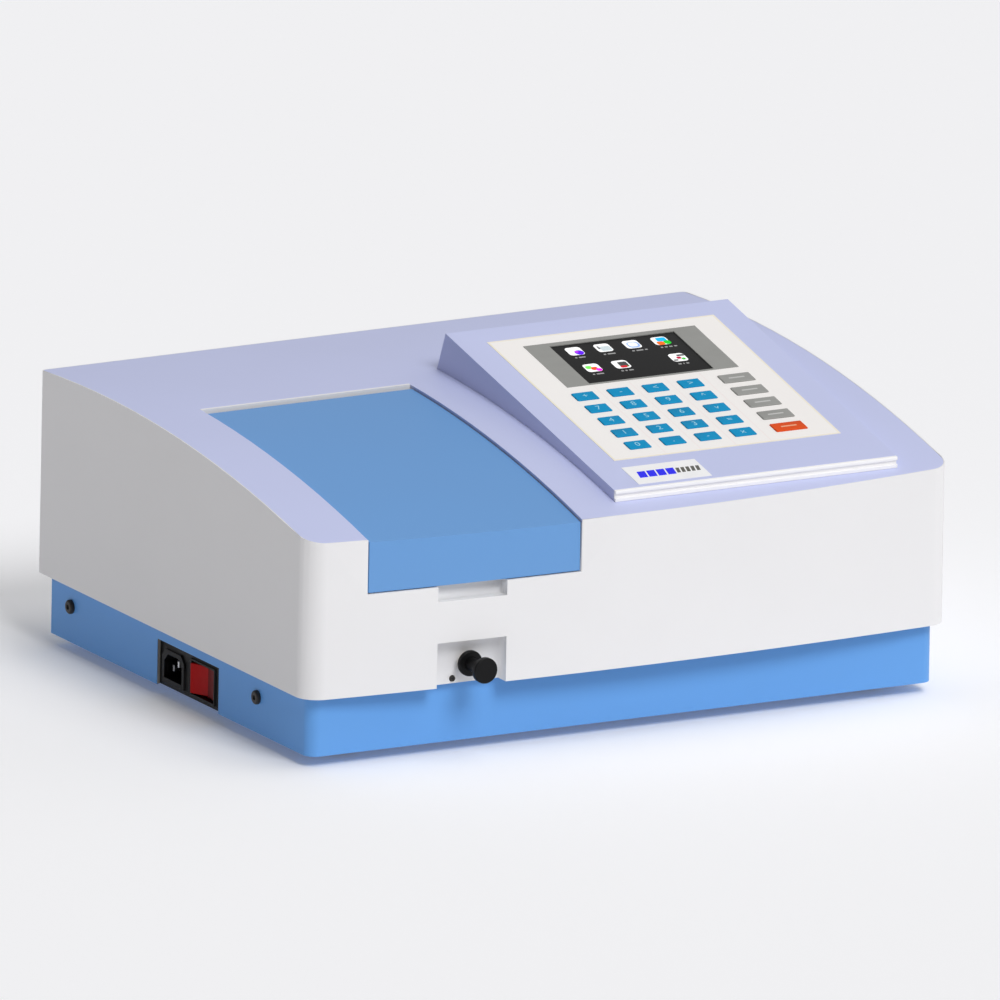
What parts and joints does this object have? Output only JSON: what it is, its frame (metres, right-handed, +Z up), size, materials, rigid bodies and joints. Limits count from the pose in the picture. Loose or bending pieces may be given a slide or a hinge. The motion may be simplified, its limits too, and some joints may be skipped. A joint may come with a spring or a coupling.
{
  "type": "spectrophotometer",
  "caption": "Bench spectrophotometer: arched casing, hinged sample lid over a pull-rod cell carriage, sloping console with display and keypad.",
  "frame": {"origin": "centre of the whole instrument's outline, on the surface it stands on", "axes": "+X to the instrument's right seen from the front, +Y to its rear, +Z up"},
  "size_m": [0.497, 0.409, 0.2217],
  "materials": {
    "white_plastic": "fine satin moulded texture",
    "lavender_plastic": "fine satin moulded texture",
    "blue_plastic": "fine satin moulded texture",
    "blue_paint": "powder coat on folded steel",
    "white_trim": "smooth satin",
    "white_membrane": "printed polyester film",
    "white_label": "blank plate with a plain bar",
    "grey_bezel": "printed satin grey",
    "screen_glass": "dark display glass with lit icons",
    "blue_key": "smooth satin",
    "grey_key": "smooth satin",
    "orange_key": "smooth satin",
    "black_plastic": "satin black",
    "black_rubber": "dull",
    "red_plastic": "translucent red, unlit",
    "black_paint": "matt black, light-absorbing",
    "black_anodised": "black anodised",
    "bright_steel": "ground steel",
    "black_steel": "black oxide",
    "brass_bush": "turned brass",
    "cast_aluminium": "sand-cast aluminium plate",
    "circuit_board": "green solder mask",
    "quartz": "polished fused silica",
    "lamp_glass": "clear lamp envelope",
    "mirror_coating": "front-surface mirror"
  },
  "bodies": {
    "casing": {"base_tray": "blue_paint", "rubber_feet": "black_rubber", "upper_casing": "white_plastic", "roof_panel": "lavender_plastic", "compartment_frame": "white_plastic", "sample_chamber": "black_paint", "chamber_windows": "quartz", "carriage_rails": "bright_steel", "rod_bush": "brass_bush", "console_housing": "lavender_plastic", "console_front_trim": "white_trim", "membrane_panel": "white_membrane", "lcd_bezel": "grey_bezel", "lcd_module": "screen_glass", "name_plate": "white_label", "keyboard_board": "circuit_board", "casing_screws": "black_steel", "power_inlet": "black_plastic", "optical_bench": "cast_aluminium", "monochromator_case": "black_paint", "deuterium_lamp": "lamp_glass", "halogen_lamp": "lamp_glass", "detector_module": "black_paint", "power_supply": "bright_steel", "main_board": "circuit_board", "fan_frame": "black_plastic"},
    "lid": {"sample_lid": "blue_plastic"},
    "carriage": {"cell_carriage": "black_anodised", "pull_rod": "bright_steel", "pull_knob": "black_plastic"},
    "rocker": {"power_rocker": "red_plastic"},
    "turret": {"grating_turret": "black_anodised"},
    "wheel": {"filter_wheel": "black_anodised"},
    "mirror": {"source_mirror": "mirror_coating"},
    "rotor": {"fan_rotor": "black_plastic"},
    "body_key_r1_c1": {"key_r1_c1": "blue_key"},
    "body_key_r1_c2": {"key_r1_c2": "blue_key"},
    "body_key_r1_c3": {"key_r1_c3": "blue_key"},
    "body_key_r1_c4": {"key_r1_c4": "blue_key"},
    "body_key_r2_c1": {"key_r2_c1": "blue_key"},
    "body_key_r2_c2": {"key_r2_c2": "blue_key"},
    "body_key_r2_c3": {"key_r2_c3": "blue_key"},
    "body_key_r2_c4": {"key_r2_c4": "blue_key"},
    "body_key_r3_c1": {"key_r3_c1": "blue_key"},
    "body_key_r3_c2": {"key_r3_c2": "blue_key"},
    "body_key_r3_c3": {"key_r3_c3": "blue_key"},
    "body_key_r3_c4": {"key_r3_c4": "blue_key"},
    "body_key_r4_c1": {"key_r4_c1": "blue_key"},
    "body_key_r4_c2": {"key_r4_c2": "blue_key"},
    "body_key_r4_c3": {"key_r4_c3": "blue_key"},
    "body_key_r4_c4": {"key_r4_c4": "blue_key"},
    "body_key_r5_c1": {"key_r5_c1": "blue_key"},
    "body_key_r5_c2": {"key_r5_c2": "blue_key"},
    "body_key_r5_c3": {"key_r5_c3": "blue_key"},
    "body_key_r5_c4": {"key_r5_c4": "blue_key"},
    "body_key_f1": {"key_f1": "grey_key"},
    "body_key_f2": {"key_f2": "grey_key"},
    "body_key_f3": {"key_f3": "grey_key"},
    "body_key_f4": {"key_f4": "grey_key"},
    "body_key_f5": {"key_f5": "orange_key"}
  },
  "joints": [
    {"name": "lid_hinge", "type": "hinge", "parent": "casing", "child": "lid", "pos_m": [-0.12325, 0.05, 0.18466], "axis": [-1, 0, 0], "range_deg": [0, 85]},
    {"name": "carriage_slide", "type": "slide", "parent": "casing", "child": "carriage", "axis": [0, -1, 0], "range_m": [0, 0.054]},
    {"name": "rocker_tilt", "type": "hinge", "parent": "casing", "child": "rocker", "pos_m": [-0.2338, -0.01525, 0.024], "axis": [0, 0, -1], "range_deg": [0, 12]},
    {"name": "grating_turn", "type": "hinge", "parent": "casing", "child": "turret", "pos_m": [0.0815, -0.0585, 0.088], "axis": [0, 0, 1], "range_deg": [-25, 25]},
    {"name": "filter_spin", "type": "hinge", "parent": "casing", "child": "wheel", "pos_m": [0.0955, 0.029, 0.088], "axis": [0, 1, 0], "continuous": true},
    {"name": "mirror_turn", "type": "hinge", "parent": "casing", "child": "mirror", "pos_m": [0.0815, 0.0855, 0.088], "axis": [0, 0, 1], "range_deg": [-45, 45]},
    {"name": "fan_spin", "type": "hinge", "parent": "casing", "child": "rotor", "pos_m": [0.1515, 0.1915, 0.116], "axis": [0, 1, 0], "continuous": true},
    {"name": "press_r1_c1", "type": "slide", "parent": "casing", "child": "body_key_r1_c1", "axis": [0, 0.2106, -0.9776], "range_m": [0, 0.0006], "stiffness_N_per_m": 800, "springref_m": -0.0005},
    {"name": "press_r1_c2", "type": "slide", "parent": "casing", "child": "body_key_r1_c2", "axis": [0, 0.2106, -0.9776], "range_m": [0, 0.0006], "stiffness_N_per_m": 800, "springref_m": -0.0005},
    {"name": "press_r1_c3", "type": "slide", "parent": "casing", "child": "body_key_r1_c3", "axis": [0, 0.2106, -0.9776], "range_m": [0, 0.0006], "stiffness_N_per_m": 800, "springref_m": -0.0005},
    {"name": "press_r1_c4", "type": "slide", "parent": "casing", "child": "body_key_r1_c4", "axis": [0, 0.2106, -0.9776], "range_m": [0, 0.0006], "stiffness_N_per_m": 800, "springref_m": -0.0005},
    {"name": "press_r2_c1", "type": "slide", "parent": "casing", "child": "body_key_r2_c1", "axis": [0, 0.2106, -0.9776], "range_m": [0, 0.0006], "stiffness_N_per_m": 800, "springref_m": -0.0005},
    {"name": "press_r2_c2", "type": "slide", "parent": "casing", "child": "body_key_r2_c2", "axis": [0, 0.2106, -0.9776], "range_m": [0, 0.0006], "stiffness_N_per_m": 800, "springref_m": -0.0005},
    {"name": "press_r2_c3", "type": "slide", "parent": "casing", "child": "body_key_r2_c3", "axis": [0, 0.2106, -0.9776], "range_m": [0, 0.0006], "stiffness_N_per_m": 800, "springref_m": -0.0005},
    {"name": "press_r2_c4", "type": "slide", "parent": "casing", "child": "body_key_r2_c4", "axis": [0, 0.2106, -0.9776], "range_m": [0, 0.0006], "stiffness_N_per_m": 800, "springref_m": -0.0005},
    {"name": "press_r3_c1", "type": "slide", "parent": "casing", "child": "body_key_r3_c1", "axis": [0, 0.2106, -0.9776], "range_m": [0, 0.0006], "stiffness_N_per_m": 800, "springref_m": -0.0005},
    {"name": "press_r3_c2", "type": "slide", "parent": "casing", "child": "body_key_r3_c2", "axis": [0, 0.2106, -0.9776], "range_m": [0, 0.0006], "stiffness_N_per_m": 800, "springref_m": -0.0005},
    {"name": "press_r3_c3", "type": "slide", "parent": "casing", "child": "body_key_r3_c3", "axis": [0, 0.2106, -0.9776], "range_m": [0, 0.0006], "stiffness_N_per_m": 800, "springref_m": -0.0005},
    {"name": "press_r3_c4", "type": "slide", "parent": "casing", "child": "body_key_r3_c4", "axis": [0, 0.2106, -0.9776], "range_m": [0, 0.0006], "stiffness_N_per_m": 800, "springref_m": -0.0005},
    {"name": "press_r4_c1", "type": "slide", "parent": "casing", "child": "body_key_r4_c1", "axis": [0, 0.2106, -0.9776], "range_m": [0, 0.0006], "stiffness_N_per_m": 800, "springref_m": -0.0005},
    {"name": "press_r4_c2", "type": "slide", "parent": "casing", "child": "body_key_r4_c2", "axis": [0, 0.2106, -0.9776], "range_m": [0, 0.0006], "stiffness_N_per_m": 800, "springref_m": -0.0005},
    {"name": "press_r4_c3", "type": "slide", "parent": "casing", "child": "body_key_r4_c3", "axis": [0, 0.2106, -0.9776], "range_m": [0, 0.0006], "stiffness_N_per_m": 800, "springref_m": -0.0005},
    {"name": "press_r4_c4", "type": "slide", "parent": "casing", "child": "body_key_r4_c4", "axis": [0, 0.2106, -0.9776], "range_m": [0, 0.0006], "stiffness_N_per_m": 800, "springref_m": -0.0005},
    {"name": "press_r5_c1", "type": "slide", "parent": "casing", "child": "body_key_r5_c1", "axis": [0, 0.2106, -0.9776], "range_m": [0, 0.0006], "stiffness_N_per_m": 800, "springref_m": -0.0005},
    {"name": "press_r5_c2", "type": "slide", "parent": "casing", "child": "body_key_r5_c2", "axis": [0, 0.2106, -0.9776], "range_m": [0, 0.0006], "stiffness_N_per_m": 800, "springref_m": -0.0005},
    {"name": "press_r5_c3", "type": "slide", "parent": "casing", "child": "body_key_r5_c3", "axis": [0, 0.2106, -0.9776], "range_m": [0, 0.0006], "stiffness_N_per_m": 800, "springref_m": -0.0005},
    {"name": "press_r5_c4", "type": "slide", "parent": "casing", "child": "body_key_r5_c4", "axis": [0, 0.2106, -0.9776], "range_m": [0, 0.0006], "stiffness_N_per_m": 800, "springref_m": -0.0005},
    {"name": "press_f1", "type": "slide", "parent": "casing", "child": "body_key_f1", "axis": [0, 0.2106, -0.9776], "range_m": [0, 0.0006], "stiffness_N_per_m": 800, "springref_m": -0.0005},
    {"name": "press_f2", "type": "slide", "parent": "casing", "child": "body_key_f2", "axis": [0, 0.2106, -0.9776], "range_m": [0, 0.0006], "stiffness_N_per_m": 800, "springref_m": -0.0005},
    {"name": "press_f3", "type": "slide", "parent": "casing", "child": "body_key_f3", "axis": [0, 0.2106, -0.9776], "range_m": [0, 0.0006], "stiffness_N_per_m": 800, "springref_m": -0.0005},
    {"name": "press_f4", "type": "slide", "parent": "casing", "child": "body_key_f4", "axis": [0, 0.2106, -0.9776], "range_m": [0, 0.0006], "stiffness_N_per_m": 800, "springref_m": -0.0005},
    {"name": "press_f5", "type": "slide", "parent": "casing", "child": "body_key_f5", "axis": [0, 0.2106, -0.9776], "range_m": [0, 0.0006], "stiffness_N_per_m": 800, "springref_m": -0.0005}
  ]
}
